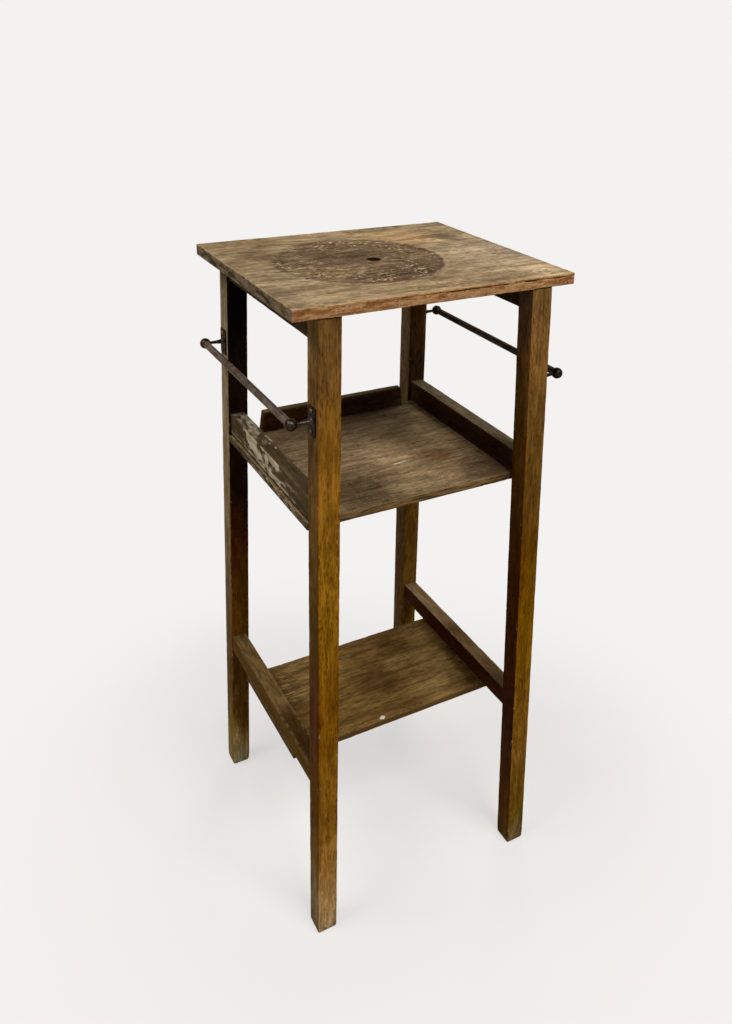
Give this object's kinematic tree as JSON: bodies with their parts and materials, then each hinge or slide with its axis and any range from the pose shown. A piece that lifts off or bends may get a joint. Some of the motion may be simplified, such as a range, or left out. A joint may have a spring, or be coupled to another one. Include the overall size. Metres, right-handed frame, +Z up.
{
  "type": "wooden work stand",
  "caption": "Tall square oak work stand: flat top with a pivot hole, metal side bars in ball-ended brackets, an open tray with a back lip and a low shelf on splayed legs.",
  "frame": {"origin": "on the floor, under the middle of the stand", "axes": "+Z up to the top board; +X to the right and +Y to the back, seen from the side where the tray is open; the metal bars run along Y"},
  "size_m": [0.4516, 0.4308, 1.04],
  "materials": {
    "oak_leg": "golden brown oak with dark flecks, feet bleached pale",
    "oak_top": "weathered grey-brown oak, worn round patch about the hole",
    "oak_rail": "dark brown oak, scuffed",
    "oak_tray": "weathered oak, paler where worn",
    "oak_shelf": "brown oak, small paint marks",
    "iron_bar": "dark grey-brown, rubbed",
    "iron_bracket": "near black, smooth",
    "steel_fixings": "dull"
  },
  "bodies": {
    "stand": {"apron_left": "oak_rail", "apron_right": "oak_rail", "bracket_plate_back_left": "iron_bracket", "bracket_plate_back_right": "iron_bracket", "bracket_plate_front_left": "iron_bracket", "bracket_plate_front_right": "iron_bracket", "bracket_post_back_left": "iron_bracket", "bracket_post_back_right": "iron_bracket", "bracket_post_front_left": "iron_bracket", "bracket_post_front_right": "iron_bracket", "bracket_screws_back_left": "steel_fixings", "bracket_screws_back_right": "steel_fixings", "bracket_screws_front_left": "steel_fixings", "bracket_screws_front_right": "steel_fixings", "leg_back_left": "oak_leg", "leg_back_right": "oak_leg", "leg_front_left": "oak_leg", "leg_front_right": "oak_leg", "lower_shelf": "oak_shelf", "shelf_nails": "steel_fixings", "stretcher_left": "oak_rail", "stretcher_right": "oak_rail", "top_board": "oak_top", "tray_board": "oak_tray", "tray_lip": "oak_tray", "tray_nails": "steel_fixings", "tray_rail_left": "oak_rail", "tray_rail_right": "oak_rail"},
    "left_bar": {"side_bar_left": "iron_bar"},
    "right_bar": {"side_bar_right": "iron_bar"}
  },
  "joints": [
    {"name": "left_bar_turn", "type": "hinge", "parent": "stand", "child": "left_bar", "pos_m": [-0.21729, 0, 0.88], "axis": [0, 1, 0], "continuous": true},
    {"name": "right_bar_turn", "type": "hinge", "parent": "stand", "child": "right_bar", "pos_m": [0.21729, 0, 0.88], "axis": [0, 1, 0], "continuous": true}
  ]
}
